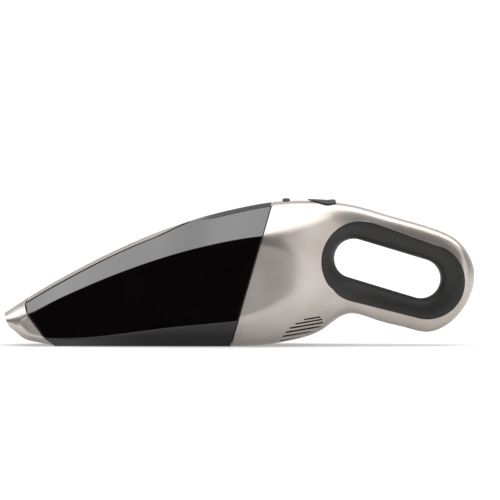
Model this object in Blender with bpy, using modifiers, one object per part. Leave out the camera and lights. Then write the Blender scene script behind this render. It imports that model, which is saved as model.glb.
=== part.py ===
"""A cordless cyclonic handheld vacuum, built as separate pieces.

+X points to the handle and -X to the nozzle, +Y to the machine's right side and +Z up. The container's flat base
lies in the plane Z = 0. The fan, motor and filter share one slanted axis, square to the joint face between the
dust container and the body. Distances along that axis are called t, and t = 0 is the joint face.
"""
import math

import bmesh
import bpy
import numpy as np
from mathutils import Matrix, Vector

NAME = "handheld_vacuum"

# Driving sizes, in metres.
GAP = 0.0003  # clearance between pieces that touch
SLANT = math.radians(16.2)  # the joint face leans back from upright by this
SEAM_X = -0.0081  # where the joint face meets the base plane
AXIS_HEIGHT = 0.0519  # height of the motor axis at the joint face
SHELL_WALL = 0.0025
CONTAINER_WALL = 0.0022
HALF_WIDTH = 0.056
HANDLE_HALF = 0.019
TOP_STRIP = 0.004  # drop from the crown's ridge to its edge
FINGER_HOLE = ((0.1016, 0.0776, 0.0175), (0.1621, 0.0594, 0.0175))  # two circles: x, z, radius
GRIP_OUTER = ((0.1086, 0.0747, 0.0361), (0.1671, 0.0569, 0.0333))
FAN_RADIUS = 0.036
MOTOR_RADIUS = 0.016
CELL_RADIUS, CELL_LENGTH = 0.00925, 0.065
CELLS = ((0.0382, 0.0962), (0.0572, 0.0958), (0.0556, 0.0766))
SLIDER_FRONT, SLIDER_REAR = 0.0608, 0.0859
BUTTON_X, BUTTON_LENGTH, BUTTON_HALF = 0.0414, 0.0067, 0.012
LATCH_TAB_Z = 0.1185
SCREW_HEAD_Y = 0.0080

# The side view's outline: from the nose over the top, round the handle and back under to the joint face.
SIDE = [
    (-0.2130, 0.0274), (-0.1867, 0.0443), (-0.1433, 0.0682), (-0.0895, 0.0937), (-0.0582, 0.1058),
    (-0.0313, 0.1148), (0.0000, 0.1228), (0.0320, 0.1282), (0.0537, 0.1291), (0.0860, 0.1273),
    (0.1055, 0.1240), (0.1300, 0.1168), (0.1750, 0.1035), (0.1938, 0.0940), (0.2066, 0.0766),
    (0.2099, 0.0629), (0.2040, 0.0401), (0.1838, 0.0173), (0.1674, 0.0118), (0.1491, 0.0154),
    (0.1262, 0.0210), (0.1070, 0.0272), (0.0996, 0.0283), (0.0921, 0.0266), (0.0835, 0.0215),
    (0.0750, 0.0151), (0.0664, 0.0106), (0.0465, 0.0049), (0.0179, 0.0009), (-0.0081, 0.0),
]
CHIN = [(-0.2130, 0.0225), (-0.1993, 0.0118), (-0.1935, 0.0073), (-0.1858, 0.0045), (-0.1760, 0.0025),
        (-0.1634, 0.0)]
# Facet edges seen from the side, as height against x, and half widths against x.
UPPER_EDGE = [(-0.2130, 0.0252), (-0.1990, 0.0262), (-0.1867, 0.0284), (-0.1468, 0.0485), (-0.0886, 0.0720),
              (-0.0528, 0.0827), (-0.0027, 0.0942), (0.0212, 0.0974), (0.0600, 0.1000), (0.1250, 0.1010)]
LOWER_EDGE = [(-0.2130, 0.0240), (-0.1990, 0.0160), (-0.1867, 0.0095), (-0.1656, 0.0062), (-0.0627, 0.0157),
              (-0.0009, 0.0220), (0.0400, 0.0300), (0.0800, 0.0420), (0.1250, 0.0420)]
WIDTH = [(-0.2130, 0.0335), (-0.1860, 0.0400), (-0.1000, 0.0500), (-0.0300, 0.0553), (0.0200, HALF_WIDTH),
         (0.0450, 0.0520), (0.0700, 0.0405), (0.0950, 0.0270), (0.1200, 0.0202), (0.1500, HANDLE_HALF),
         (0.2100, HANDLE_HALF)]
CROWN = [(-0.2130, 0.0240), (-0.1200, 0.0260), (0.0200, 0.0220), (0.0600, 0.0205), (0.1200, 0.0165),
         (0.2100, 0.0165)]
BASE = [(-0.2130, 0.0290), (-0.1600, 0.0320), (-0.1000, 0.0360), (0.0000, 0.0400), (0.0300, 0.0380),
        (0.0600, 0.0300), (0.0900, 0.0220), (0.1200, 0.0165), (0.2100, 0.0165)]
REAR_END = 0.2105
HANDLE_ROUND = 0.016  # depth of the handle's rounded edges
# The curved line where the nozzle meets the container, and the slanted mouth.
NOZZLE_SEAM = [(-0.1868, 0.0560), (-0.1894, 0.0428), (-0.1911, 0.0370), (-0.1896, 0.0302), (-0.1819, 0.0185),
               (-0.1732, 0.0079), (-0.1634, 0.0001), (-0.1600, -0.0040)]
MOUTH = [(-0.2130, 0.0340), (-0.2100, 0.0293), (-0.2061, 0.0195), (-0.1993, 0.0118), (-0.1940, 0.0060)]
RAIL_REAR = -0.044

VENTS = ((0.0568, 0.0716), (0.0491, 0.0733), (0.0441, 0.0739), (0.0405, 0.0727), (0.0379, 0.0716),
         (0.0358, 0.0620))  # first and last x of each exhaust slot, from the top one down
VENT_TOP, VENT_PITCH, VENT_RISE, VENT_HEIGHT = 0.0237, 0.00374, 0.155, 0.0013
BOSSES = ((0.0310, 0.0090), (0.0920, 0.0360), (0.1010, 0.1165), (0.1840, 0.0925), (0.1500, 0.0226))
BOSS_RADIUS = 0.0035


# Curves and sections -------------------------------------------------------------------------------------------

def spline(points, count=200):
    """Evenly spread points on the natural cubic curve through the given ones."""
    knots = np.array(points, float)
    chord = np.concatenate([[0.0], np.cumsum(np.linalg.norm(np.diff(knots, axis=0), axis=1))])
    step = np.diff(chord)
    size = len(chord)
    system, right = np.eye(size), np.zeros_like(knots)
    for i in range(1, size - 1):
        system[i, i - 1:i + 2] = step[i - 1], 2 * (step[i - 1] + step[i]), step[i]
        right[i] = 6 * ((knots[i + 1] - knots[i]) / step[i] - (knots[i] - knots[i - 1]) / step[i - 1])
    bend = np.linalg.solve(system, right)
    at = np.linspace(0.0, chord[-1], count)
    k = np.clip(np.searchsorted(chord, at, "right") - 1, 0, size - 2)
    h = step[k][:, None]
    left, ahead = (at - chord[k])[:, None], (chord[k + 1] - at)[:, None]
    return (
        (bend[k] * ahead**3 + bend[k + 1] * left**3) / (6 * h)
        + (knots[k] / h - bend[k] * h / 6) * ahead
        + (knots[k + 1] / h - bend[k + 1] * h / 6) * left
    )


def height_of(curve):
    """Reads a curve that runs one way along x as height against x."""
    order = np.argsort(curve[:, 0])
    return lambda x: float(np.interp(x, curve[order, 0], curve[order, 1]))


def smooth_step(low, high, x):
    t = min(max((x - low) / (high - low), 0.0), 1.0)
    return t * t * (3 - 2 * t)


outline = spline(SIDE, 900)
turn = int(np.argmax(outline[:, 0]))
top_of = height_of(outline[:turn + 1])
belly = outline[turn:]
belly[:, 1] = np.maximum(belly[:, 1], 0.0)
chin = spline(CHIN, 60)
chin[:, 1] = np.maximum(chin[:, 1], 0.0)
bottom_of = height_of(np.vstack([chin, belly]))
upper_edge_of, lower_edge_of = height_of(spline(UPPER_EDGE)), height_of(spline(LOWER_EDGE))
width_of, crown_of, base_of = (height_of(spline(line)) for line in (WIDTH, CROWN, BASE))


def corners(x):
    """The half section's corner points (y, z) at x, from the top centre to the bottom centre."""
    top, bottom = top_of(x), bottom_of(x)
    height = top - bottom
    end = min(max((REAR_END - x) / HANDLE_ROUND, 0.0), 1.0)
    width = width_of(x) * (1 - (1 - end) ** 2.2) ** (1 / 2.2)
    handle = smooth_step(0.080, 0.125, x)
    depth = min(HANDLE_ROUND, 0.32 * height)
    upper = (1 - handle) * upper_edge_of(x) + handle * (top - depth)
    lower = (1 - handle) * lower_edge_of(x) + handle * (bottom + depth)
    drop = min(TOP_STRIP, 0.1 * height)
    crown, base = min(crown_of(x), 0.87 * width), min(base_of(x), 0.87 * width)
    lean = 0.002 * (1 - handle)
    return [(0.0, top), (0.55 * crown, top), (crown, top - drop), (width - lean, upper), (width, lower),
            (base, bottom), (0.0, bottom)]


def section(x, reach, inset=0.0, steps=2):
    """The half section at x with its corners rounded over the given reach, shrunk by inset on every side."""
    points = np.array(corners(x))
    rounded = [points[0]]
    for before, at, after in zip(points, points[1:], points[2:]):
        back, on = before - at, after - at
        a = at + back * min(reach / max(np.linalg.norm(back), 1e-9), 0.5)
        b = at + on * min(reach / max(np.linalg.norm(on), 1e-9), 0.5)
        for i in range(steps + 1):
            t = i / steps
            rounded.append((1 - t) ** 2 * a + 2 * t * (1 - t) * at + t * t * b)
    rounded = np.array(rounded + [points[-1]])
    half = points[:, 0].max()
    middle, tall = (points[0, 1] + points[-1, 1]) / 2, (points[0, 1] - points[-1, 1]) / 2
    rounded[:, 0] *= 1 - inset / half
    rounded[:, 1] = middle + (rounded[:, 1] - middle) * (1 - inset / tall)
    return rounded


def body_reach(x):
    """How far the body's rounding reaches: crisp at the joint face and soft towards the handle."""
    return 0.006 + 0.024 * smooth_step(0.0, 0.090, x)


def half_width_at(x, z):
    """Half width of the body's skin at a point of the side view."""
    line = section(x, body_reach(x), steps=4)[::-1]
    return float(np.interp(z, line[:, 1], line[:, 0]))


def capsule(first, second, grow=0.0, arc=12, straight=4):
    """Outline round two circles (x, z, radius) with their outer tangents, its straight sides subdivided."""
    (xa, za, ra), (xb, zb, rb) = first, second
    ra, rb = ra + grow, rb + grow
    lean = math.atan2(zb - za, xb - xa)
    wide = math.acos((ra - rb) / math.hypot(xb - xa, zb - za))
    ring = [(xb, zb, rb, lean + wide - 2 * wide * i / arc) for i in range(arc + 1)]
    ring += [(xa, za, ra, lean - wide - 2 * (math.pi - wide) * i / arc) for i in range(arc + 1)]
    points = [(x + r * math.cos(a), z + r * math.sin(a)) for x, z, r, a in ring]
    result = []
    for i, (start, end) in enumerate(zip(points, points[1:] + points[:1])):
        pieces = straight if i in (arc, 2 * arc + 1) else 1
        result += [tuple(np.array(start) + (np.array(end) - np.array(start)) * k / pieces) for k in range(pieces)]
    return result


# Making objects ------------------------------------------------------------------------------------------------

def clear_scene():
    for old in list(bpy.data.objects):
        bpy.data.objects.remove(old, do_unlink=True)
    for old in list(bpy.data.collections):
        bpy.data.collections.remove(old)


clear_scene()
parts = bpy.data.collections.new(NAME)
cutters = bpy.data.collections.new("cutters")
bpy.context.scene.collection.children.link(parts)
bpy.context.scene.collection.children.link(cutters)


def material(name, colour, roughness, metallic=0.0):
    made = bpy.data.materials.new(name)
    made.use_nodes = True
    shader = made.node_tree.nodes["Principled BSDF"]
    shader.inputs["Base Color"].default_value = (*colour, 1.0)
    shader.inputs["Roughness"].default_value = roughness
    shader.inputs["Metallic"].default_value = metallic
    return made


def add(name, mesh, collection=None, place=(0, 0, 0), turned_by=(0, 0, 0), parent=None):
    made = bpy.data.objects.new(name, mesh)
    made.location, made.rotation_euler = place, turned_by
    made.parent = parent
    (collection or parts).objects.link(made)
    return made


def from_bmesh(name, bm, **where):
    bmesh.ops.recalc_face_normals(bm, faces=bm.faces)
    mesh = bpy.data.meshes.new(name)
    bm.to_mesh(mesh)
    bm.free()
    return add(name, mesh, **where)


def empty(name, place, turned_by=(0, 0, 0), parent=None):
    made = add(name, None, place=place, turned_by=turned_by, parent=parent)
    made.empty_display_size = 0.01
    return made


def box(name, low, high, **where):
    """A box between two corners."""
    bm = bmesh.new()
    bmesh.ops.create_cube(bm, size=1.0)
    low, high = Vector(low), Vector(high)
    bmesh.ops.transform(bm, verts=bm.verts, matrix=Matrix.LocRotScale((low + high) / 2, None, high - low))
    return from_bmesh(name, bm, **where)


def rod(name, radius, low, high, sides=16, **where):
    """A cylinder about its own Z, from low to high."""
    bm = bmesh.new()
    bmesh.ops.create_cone(bm, cap_ends=True, segments=sides, radius1=radius, radius2=radius, depth=high - low)
    bmesh.ops.translate(bm, verts=bm.verts, vec=(0, 0, (low + high) / 2))
    return from_bmesh(name, bm, **where)


def prism(name, points, low, high, flat=False, **where):
    """A side outline (x, z) drawn across from y = low to high; with flat, an (x, y) outline drawn up from z."""
    bm = bmesh.new()
    corner = [bm.verts.new((p[0], p[1], low) if flat else (p[0], low, p[1])) for p in points]
    face = bm.faces.new(corner)
    drawn = bmesh.ops.extrude_face_region(bm, geom=[face])["geom"]
    moved = [v for v in drawn if isinstance(v, bmesh.types.BMVert)]
    bmesh.ops.translate(bm, verts=moved, vec=(0, 0, high - low) if flat else (0, high - low, 0))
    return from_bmesh(name, bm, **where)


def turned(name, profile, ring=False, sides=24, **where):
    """A turned piece about its own Z: (radius, z) points down the outer side; ring closes the profile."""
    mesh = bpy.data.meshes.new(name)
    count = len(profile)
    edges = [(i, i + 1) for i in range(count - 1)] + ([(count - 1, 0)] if ring else [])
    mesh.from_pydata([(r, 0.0, z) for r, z in profile], edges, [])
    made = add(name, mesh, **where)
    screw = made.modifiers.new("turn", "SCREW")
    screw.axis, screw.angle, screw.screw_offset = "Z", 2 * math.pi, 0.0
    screw.steps = screw.render_steps = sides
    screw.use_merge_vertices, screw.merge_threshold = True, 0.00001
    return made


def tube(name, points, radius, sides=2, closed_ends=True, parent=None):
    """A round bar along the given points."""
    curve = bpy.data.curves.new(name, "CURVE")
    curve.dimensions, curve.bevel_depth, curve.bevel_resolution = "3D", radius, sides
    curve.use_fill_caps = closed_ends
    line = curve.splines.new("POLY")
    line.points.add(len(points) - 1)
    for point, at in zip(line.points, points):
        point.co = (*at, 1.0)
    return add(name, curve, parent=parent)


def casing(name, stations, reach, inset=0.0, steps=2, **where):
    """The machine's outer form as a closed loft along x, from unlike sections."""
    bm = bmesh.new()
    rings = []
    for x in stations:
        half = section(x, reach(x) if callable(reach) else reach, inset, steps)
        whole = [(y, z) for y, z in half] + [(-y, z) for y, z in half[-2:0:-1]]
        rings.append([bm.verts.new((x, y, z)) for y, z in whole])
    count = len(rings[0])
    for one, two in zip(rings, rings[1:]):
        for i in range(count):
            j = (i + 1) % count
            bm.faces.new((one[i], one[j], two[j], two[i]))
    bm.faces.new(rings[0])
    bm.faces.new(rings[-1])
    return from_bmesh(name, bm, **where)


def as_cutter(made):
    made.display_type, made.hide_render = "WIRE", True
    return made


def boolean(made, other, operation="DIFFERENCE"):
    change = made.modifiers.new(operation.lower(), "BOOLEAN")
    change.operation, change.object, change.solver = operation, other, "EXACT"
    return made


def finish(made, look, smooth=False):
    """Gives a piece its material, and smooth shading if it is round."""
    made.data.materials.append(look)
    if smooth and made.type == "MESH":
        made.data.shade_smooth()
        made.data.set_sharp_from_angle(angle=math.radians(35))
    return made


CUT = {"collection": cutters}
REACH_ALL = 0.30  # a cutter this long passes right through the machine


def slab(name, front, rear):
    """A cutter between two planes parallel to the joint face, at t = front and t = rear."""
    made = box(name, (front, -REACH_ALL, -REACH_ALL), (rear, REACH_ALL, REACH_ALL),
               place=(SEAM_X, 0, 0), turned_by=(0, SLANT, 0), **CUT)
    return as_cutter(made)


def front_stations(start, end, count):
    return list(np.linspace(start, end, count))


def body_stations(start, end=0.2096, plain=11, rear=7):
    """Even stations along the pod, then closer and closer ones to the handle's end."""
    bend = 0.150
    near = [bend + (end - bend) * math.sin(math.pi / 2 * i / rear) for i in range(1, rear + 1)]
    return list(np.linspace(start, bend, plain)) + near


# Materials
smoked = material("smoked_polycarbonate", (0.02, 0.01, 0.012), 0.08)
champagne = material("champagne_paint", (0.56, 0.51, 0.47), 0.35, 0.6)
soft_black = material("soft_touch_rubber", (0.02, 0.02, 0.02), 0.6)
black_abs = material("black_abs", (0.02, 0.02, 0.022), 0.45)
grey_abs = material("grey_abs", (0.20, 0.20, 0.21), 0.5)
seal_rubber = material("seal_rubber", (0.03, 0.03, 0.03), 0.8)
filter_cloth = material("filter_cloth", (0.80, 0.79, 0.75), 0.9)
steel = material("zinc_plated_steel", (0.55, 0.56, 0.57), 0.3, 1.0)
mesh_steel = material("steel_mesh", (0.45, 0.46, 0.47), 0.35, 1.0)
copper_wound = material("wound_armature", (0.45, 0.22, 0.10), 0.45, 0.8)
ferrite = material("ferrite", (0.05, 0.05, 0.05), 0.7)
cell_wrap = material("battery_wrap", (0.05, 0.16, 0.10), 0.4)
board_green = material("circuit_board", (0.03, 0.14, 0.05), 0.5)
foam_grey = material("exhaust_foam", (0.06, 0.06, 0.065), 0.95)
brass = material("brass", (0.70, 0.50, 0.20), 0.3, 1.0)
lamp_lens = material("lamp_lens", (0.75, 0.10, 0.08), 0.15)
red_pvc = material("red_pvc", (0.45, 0.02, 0.02), 0.5)
black_pvc = material("black_pvc", (0.02, 0.02, 0.02), 0.5)

# Axes. The drive axis is at the joint face and its own Z runs rearwards and down, square to that face.
AXIS_X = SEAM_X + AXIS_HEIGHT * math.tan(SLANT)
drive = {"place": (AXIS_X, 0, AXIS_HEIGHT), "turned_by": (0, SLANT + math.pi / 2, 0)}
container_frame = empty("container_frame", (0, 0, 0))
filter_axis = empty("filter_axis", drive["place"], drive["turned_by"], parent=container_frame)
drive_axis = empty("drive_axis", drive["place"], drive["turned_by"])
fan_axis = empty("fan_axis", (0, 0, 0), parent=drive_axis)
on_drive, on_filter, on_fan = {"parent": drive_axis}, {"parent": filter_axis}, {"parent": fan_axis}

ahead_of_body = slab("ahead_of_body", -0.40, GAP)
behind_container = slab("behind_container", -GAP, 0.30)
nozzle_line = [tuple(p) for p in spline(NOZZLE_SEAM, 22)]
nozzle_zone = as_cutter(prism("nozzle_zone", [(-0.24, -0.004), (-0.24, 0.056)] + nozzle_line, -0.09, 0.09, **CUT))


def shifted(points, dx):
    return [(x + dx, z) for x, z in points]


nozzle_zone_wide = as_cutter(prism("nozzle_zone_wide", [(-0.24, -0.004), (-0.24, 0.056)]
                                   + shifted(nozzle_line, 2 * GAP), -0.09, 0.09, **CUT))


# The dust container --------------------------------------------------------------------------------------------

def rail_prism(name, lower, front, rear):
    """The space above the crown's edge between two x values; lower sinks its floor."""
    xs = np.linspace(rear, front, 12)
    floor = [(x, top_of(x) - TOP_STRIP - lower) for x in xs]
    return as_cutter(prism(name, floor + [(front, 0.15), (rear, 0.15)], -0.06, 0.06, **CUT))


def catch_tab():
    """The tab at the container's top rear that the latch hook holds."""
    root, end, roof, thick = 0.0222, 0.0360, 0.1258, 0.0018
    side = [(root, roof), (root, LATCH_TAB_Z), (end, LATCH_TAB_Z), (end, LATCH_TAB_Z + thick),
            (root + thick, LATCH_TAB_Z + thick), (root + thick, roof)]
    return as_cutter(prism("catch_tab", side, -0.005, 0.005, **CUT))


def container_shell():
    stations = front_stations(-0.195, 0.045, 13)
    made = casing("container_shell", stations, 0.0015, steps=1)
    cavity = as_cutter(casing("container_cavity", front_stations(-0.200, 0.060, 13), 0.0015, CONTAINER_WALL, 1,
                              **CUT))
    boolean(cavity, rail_prism("rail_bed", CONTAINER_WALL + GAP, -0.230, RAIL_REAR + CONTAINER_WALL))
    boolean(made, rail_prism("rail_space", GAP, -0.220, RAIL_REAR + GAP))
    boolean(made, cavity)
    boolean(made, nozzle_zone_wide)
    boolean(made, behind_container)
    boolean(made, catch_tab(), "UNION")
    return finish(made, smoked)


def nozzle():
    made = casing("nozzle", front_stations(-0.213, -0.150, 8), 0.004, steps=2)
    cavity = as_cutter(casing("nozzle_cavity", front_stations(-0.2105, -0.145, 8), 0.004, CONTAINER_WALL, 2,
                              **CUT))
    mouth_line = [tuple(p) for p in spline(MOUTH, 12)]
    mouth = as_cutter(prism("mouth", [(-0.24, 0.034)] + mouth_line + [(-0.24, 0.006)], -0.09, 0.09, **CUT))
    boolean(made, cavity)
    boolean(made, mouth)
    boolean(made, nozzle_zone, "INTERSECT")
    return finish(made, champagne)


def top_rail():
    made = casing("top_rail", front_stations(-0.200, -0.030, 11), 0.0015, steps=1)
    boolean(made, rail_prism("rail_form", 0.0, -0.230, RAIL_REAR), "INTERSECT")
    boolean(made, nozzle_zone_wide)
    return finish(made, champagne)


DUCT_FRONT, DUCT_REAR, DUCT_SLOPE = -0.186, -0.128, 0.276


def duct_level(x):
    """Height of the duct's middle line, which rises rearwards."""
    return 0.0180 + DUCT_SLOPE * (x - DUCT_FRONT)


def duct_run(name, height, half, start, end):
    """A cutter along the duct's straight run."""
    points = [(x, duct_level(x) + height / 2 * side) for x, side in ((start, -1), (end, -1), (end, 1), (start, 1))]
    return as_cutter(prism(name, points, -half, half, **CUT))


def inlet_duct():
    made = casing("inlet_duct", front_stations(-0.195, -0.170, 4), 0.0015, CONTAINER_WALL + 0.0010, 1)
    boolean(made, rail_prism("front_wall_top", CONTAINER_WALL + 3 * GAP, -0.230, RAIL_REAR))
    boolean(made, as_cutter(box("front_wall_space", (-0.1870, -0.1, -0.1), (-0.1850, 0.1, 0.1), **CUT)),
            "INTERSECT")
    boolean(made, duct_run("duct_outer", 0.0150, 0.0250, DUCT_FRONT, DUCT_REAR), "UNION")
    boolean(made, duct_run("duct_inner", 0.0120, 0.0235, DUCT_FRONT - 0.004, DUCT_REAR + 0.004))
    return finish(made, black_abs)


def filter_carrier():
    made = casing("filter_carrier", front_stations(-0.030, 0.030, 6), 0.0015, CONTAINER_WALL + 0.0005, 1)
    boolean(made, slab("carrier_space", -0.0080, -0.0060), "INTERSECT")
    boolean(made, as_cutter(rod("carrier_hole", 0.0310, -0.02, 0.01, 24, collection=cutters, **on_filter)))
    return finish(made, black_abs)


# The non-return flap -------------------------------------------------------------------------------------------

FLAP_X, FLAP_PIN_Z = DUCT_REAR + 0.0024, duct_level(DUCT_REAR) + 0.0100


def inlet_flap():
    hinge = empty("flap_hinge", (FLAP_X, 0, FLAP_PIN_Z), parent=container_frame)
    flap = box("inlet_flap", (-0.0008, -0.0255, -0.0185), (0.0008, 0.0255, 0.0014), parent=hinge)
    barrel = rod("flap_barrel", 0.0018, -0.0255, 0.0255, 12, turned_by=(math.pi / 2, 0, 0), parent=hinge, **CUT)
    bore = rod("flap_bore", 0.0011, -0.03, 0.03, 12, turned_by=(math.pi / 2, 0, 0), parent=hinge, **CUT)
    boolean(flap, as_cutter(barrel), "UNION")
    boolean(flap, as_cutter(bore))
    pin = rod("flap_pin", 0.0008, -0.0275, 0.0275, 12, turned_by=(math.pi / 2, 0, 0), parent=hinge)
    return finish(flap, seal_rubber), finish(pin, steel, True)


# The filter unit -----------------------------------------------------------------------------------------------

FILTER_TIP = -0.068


def filter_shroud():
    wall, wide, flange = 0.0015, 0.0288, 0.0350
    profile = [(0, FILTER_TIP + wall), (0.0192, FILTER_TIP + wall), (wide - wall, -0.0573),
               (wide - wall, -0.0024), (flange, -0.0024), (flange, -0.0044), (wide, -0.0044),
               (wide, -0.0580), (0.0200, FILTER_TIP), (0, FILTER_TIP)]
    made = turned("filter_shroud", profile, sides=24, **on_filter)
    for i in range(4):
        window = box(f"shroud_window_{i}", (-0.05, -0.0055, -0.0520), (0.05, 0.0055, -0.0140),
                     turned_by=(0, 0, math.pi / 8 + i * math.pi / 4), parent=filter_axis, **CUT)
        boolean(made, as_cutter(window))
    return finish(made, grey_abs, True)


def filter_mesh():
    low, high = -0.0560, -0.0060
    made = turned("filter_mesh", [(0.0261, high), (0.0267, high), (0.0267, low), (0.0261, low)], True, 24,
                  **on_filter)
    return finish(made, mesh_steel, True)


def pleated_filter():
    pleats, outer, inner, bore = 22, 0.0250, 0.0190, 0.0130
    star = []
    for i in range(2 * pleats):
        radius, angle = (outer, inner)[i % 2], math.pi * i / pleats
        star.append((radius * math.cos(angle), radius * math.sin(angle)))
    made = prism("pleated_filter", star, -0.0550, -0.0070, flat=True, **on_filter)
    boolean(made, as_cutter(rod("filter_bore", bore, -0.06, 0.0, 20, collection=cutters, **on_filter)))
    return finish(made, filter_cloth)


def filter_seal():
    made = turned("filter_seal", [(0.0315, -0.0047), (0.0345, -0.0047), (0.0345, -0.0057), (0.0315, -0.0057)],
                  True, 24, **on_filter)
    return finish(made, seal_rubber, True)


def filter_handle():
    """A bridge across the filter's open end, to turn and pull it by."""
    made = box("filter_handle", (-0.0050, -0.0330, -0.0021), (0.0050, 0.0330, 0.0014), **on_filter)
    hollow = box("handle_hollow", (-0.0060, -0.0240, -0.0040), (0.0060, 0.0240, -0.0004), parent=filter_axis, **CUT)
    boolean(made, as_cutter(hollow))
    return finish(made, grey_abs)


# The body's shells ---------------------------------------------------------------------------------------------

body_cavity = as_cutter(casing("body_cavity", body_stations(-0.020, 0.2050), body_reach, SHELL_WALL, 2, **CUT))
grip_space = as_cutter(prism("grip_space", capsule(*GRIP_OUTER, grow=GAP), -0.09, 0.09, **CUT))
slider_slot = as_cutter(box("slider_slot", (0.0640, -0.0035, 0.110), (0.0775, 0.0035, 0.140), **CUT))
lamp_hole = as_cutter(rod("lamp_hole", 0.0023, 0.110, 0.140, 12, place=(0.0940, 0, 0), **CUT))


def oval(centre, length, half, count=16):
    """A plan outline (x, y): an ellipse of the given length along x and half width along y."""
    return [(centre + length / 2 * math.cos(a), half * math.sin(a))
            for a in (2 * math.pi * i / count for i in range(count))]


button_well = as_cutter(prism("button_well", oval(BUTTON_X, BUTTON_LENGTH + 0.0008, BUTTON_HALF + 0.0004),
                              0.110, 0.140, flat=True, **CUT))
SOCKET_PLACE, SOCKET_TURN = (0.0830, 0, 0.0214), (0, math.radians(-34) + math.pi, 0)
socket_hole = as_cutter(rod("socket_hole", 0.0043, -0.010, 0.010, 16, place=SOCKET_PLACE,
                            turned_by=SOCKET_TURN, **CUT))


def vents(side):
    """The exhaust slots' cutters on one side, each a slanted bar."""
    made = []
    for i, (start, end) in enumerate(VENTS):
        length = (end - start) / math.cos(math.atan(VENT_RISE))
        low, high = sorted((side * 0.022, side * 0.070))
        bar = box(f"vent_{'right' if side > 0 else 'left'}_{i}", (0, low, -VENT_HEIGHT / 2),
                  (length, high, VENT_HEIGHT / 2), place=(start, 0, VENT_TOP - i * VENT_PITCH),
                  turned_by=(0, -math.atan(VENT_RISE), 0), **CUT)
        made.append(as_cutter(bar))
    return made


def boss(index, side):
    """A screw post from the mid plane out to just inside the shell's skin."""
    x, z = BOSSES[index]
    low, high = sorted((side * GAP / 2, side * 0.070))
    post = rod(f"boss_{index}_{'right' if side > 0 else 'left'}", BOSS_RADIUS, low, high, 12, place=(x, 0, z),
               turned_by=(-math.pi / 2, 0, 0), **CUT)
    skin = as_cutter(casing(f"boss_limit_{index}_{side}", [x - 0.006, x, x + 0.006], body_reach, 0.0012, 2, **CUT))
    return as_cutter(boolean(post, skin, "INTERSECT"))


def drill(name, radius, low, high, x, z):
    return as_cutter(rod(name, radius, low, high, 12, place=(x, 0, z), turned_by=(-math.pi / 2, 0, 0), **CUT))


def shell(name, side):
    made = casing(name, body_stations(-0.015), body_reach, steps=2)
    other_half = as_cutter(box(f"{name}_limit", (-0.3, min(0, side) * REACH_ALL + side * GAP / 2, -0.1),
                               (0.3, max(0, side) * REACH_ALL + side * GAP / 2, 0.3), **CUT))
    boolean(made, body_cavity)
    boolean(made, other_half, "INTERSECT")
    boolean(made, ahead_of_body)
    boolean(made, grip_space)
    for index in range(len(BOSSES)):
        boolean(made, boss(index, side), "UNION")
    for index, (x, z) in enumerate(BOSSES):
        if side > 0:
            boolean(made, drill(f"counterbore_{index}", 0.0026, SCREW_HEAD_Y - GAP, 0.09, x, z))
            boolean(made, drill(f"clearance_{index}", 0.0015, -0.001, 0.02, x, z))
        else:
            boolean(made, drill(f"pilot_{index}", 0.0015, -0.009, 0.001, x, z))
    for hole in (slider_slot, lamp_hole, button_well, socket_hole, *vents(side)):
        boolean(made, hole)
    return finish(made, champagne, True)


def grip_ring():
    """The soft ring round the finger hole, lofted round the loop. Its section is a channel open outwards."""
    wall, depth = 0.003, 0.012
    bm, rings = bmesh.new(), []
    for outer, inner in zip(capsule(*GRIP_OUTER), capsule(*FINGER_HOLE)):
        outer, inner = np.array(outer), np.array(inner)
        width = np.linalg.norm(outer - inner)

        def skin(v):
            at = outer + (inner - outer) * v
            return half_width_at(*at) - depth * (1 - math.sqrt(max(1 - v * v, 0.0)))

        path = [(v, skin(v)) for v in (0.0, 0.4, 0.7, 0.9, 1.0)]
        inside = [(1 - wall / width, skin(1.0) - wall / 2), (0.5, skin(0.5) - wall), (0.0, skin(0.0) - wall)]
        loop = path + [(v, -y) for v, y in path[::-1]] + [(v, -y) for v, y in inside[::-1]] + inside
        rings.append([bm.verts.new((*(outer + (inner - outer) * v), y)) for v, y in loop])
    for one, two in zip(rings, rings[1:] + rings[:1]):
        for i in range(len(one)):
            j = (i + 1) % len(one)
            bm.faces.new((one[i], one[j], two[j], two[i]))
    for vert in bm.verts:
        x, z, y = vert.co
        vert.co = (x, y, z)
    return finish(from_bmesh("grip_ring", bm), soft_black, True)


def shell_screws():
    profile = [(0, -0.0018), (0.0022, -0.0012), (0.0023, 0.0), (0.0012, 0.0), (0.0012, 0.0145), (0, 0.0155)]
    for index, (x, z) in enumerate(BOSSES):
        screw = turned(f"shell_screw_{index + 1}", profile[::-1], sides=12, place=(x, SCREW_HEAD_Y, z),
                       turned_by=(math.pi / 2, 0, 0))
        finish(screw, steel, True)


# Inside the body -----------------------------------------------------------------------------------------------

latch_notch = as_cutter(box("latch_notch", (0.010, -0.0065, LATCH_TAB_Z - 0.0080), (0.050, 0.0065, 0.14), **CUT))


def plate_form(name, inset):
    return casing(name, front_stations(-0.025, 0.050, 6), body_reach, inset, 2)


def bulkhead():
    made = plate_form("bulkhead", SHELL_WALL + 0.0005)
    boolean(made, slab("bulkhead_space", 0.0030, 0.0060), "INTERSECT")
    boolean(made, as_cutter(rod("bulkhead_hole", 0.0240, -0.01, 0.02, 24, collection=cutters, **on_drive)))
    boolean(made, latch_notch)
    return finish(made, grey_abs)


def container_seal():
    made = plate_form("container_seal", SHELL_WALL + 0.0005)
    middle = as_cutter(casing("seal_middle", front_stations(-0.030, 0.055, 6), body_reach, 0.0062, 2, **CUT))
    boolean(made, slab("seal_space", -0.0022, 0.0027), "INTERSECT")
    boolean(made, middle)
    return finish(made, seal_rubber)


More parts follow.
